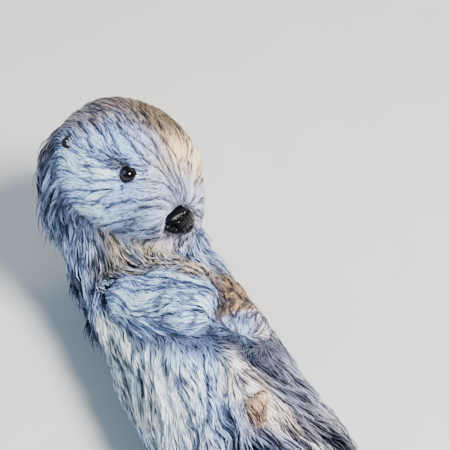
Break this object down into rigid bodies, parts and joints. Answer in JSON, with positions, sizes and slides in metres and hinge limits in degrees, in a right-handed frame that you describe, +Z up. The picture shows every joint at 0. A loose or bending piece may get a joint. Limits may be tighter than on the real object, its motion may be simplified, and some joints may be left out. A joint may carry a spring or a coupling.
{
  "type": "sea otter model",
  "caption": "Life-size sea otter at rest on its back, head raised and forepaws folded on its chest.",
  "frame": {"origin": "centre of the box's underside, on the floor the animal lies on", "axes": "+Z up out of the belly, -X towards the head and +X towards the tail, +Y to the animal's own left"},
  "size_m": [0.9452, 0.3842, 0.2282],
  "materials": {
    "coat_head": "pale silver-white fur",
    "coat_body": "grey-fawn wet fur",
    "coat_back": "dark brown fur",
    "bare_skin": "dark webbed skin with short fur",
    "nose_skin": "wet black skin",
    "eye_gloss": "wet gloss",
    "horn": "dark horn"
  },
  "bodies": {
    "root": {"eye_right": "eye_gloss", "ear_right": "coat_back", "claw_fore_right_1": "horn", "claw_fore_right_2": "horn", "claw_fore_right_3": "horn", "claw_fore_right_4": "horn", "claw_fore_right_5": "horn", "claw_hind_right_1": "horn", "claw_hind_right_2": "horn", "claw_hind_right_3": "horn", "claw_hind_right_4": "horn", "claw_hind_right_5": "horn", "eye_left": "eye_gloss", "ear_left": "coat_back", "claw_fore_left_1": "horn", "claw_fore_left_2": "horn", "claw_fore_left_3": "horn", "claw_fore_left_4": "horn", "claw_fore_left_5": "horn", "claw_hind_left_1": "horn", "claw_hind_left_2": "horn", "claw_hind_left_3": "horn", "claw_hind_left_4": "horn", "claw_hind_left_5": "horn", "nose": "nose_skin", "head": "coat_head", "forepaw_right": "coat_body", "forearm_right": "coat_body", "upper_arm_right": "coat_body", "flipper_right": "bare_skin", "shank_right": "coat_back", "thigh_right": "coat_body", "forepaw_left": "coat_body", "forearm_left": "coat_body", "upper_arm_left": "coat_body", "flipper_left": "bare_skin", "shank_left": "coat_back", "thigh_left": "coat_body", "belly_fold": "coat_body", "neck": "coat_head", "tail": "coat_back", "trunk": "coat_body"}
  },
  "joints": []
}
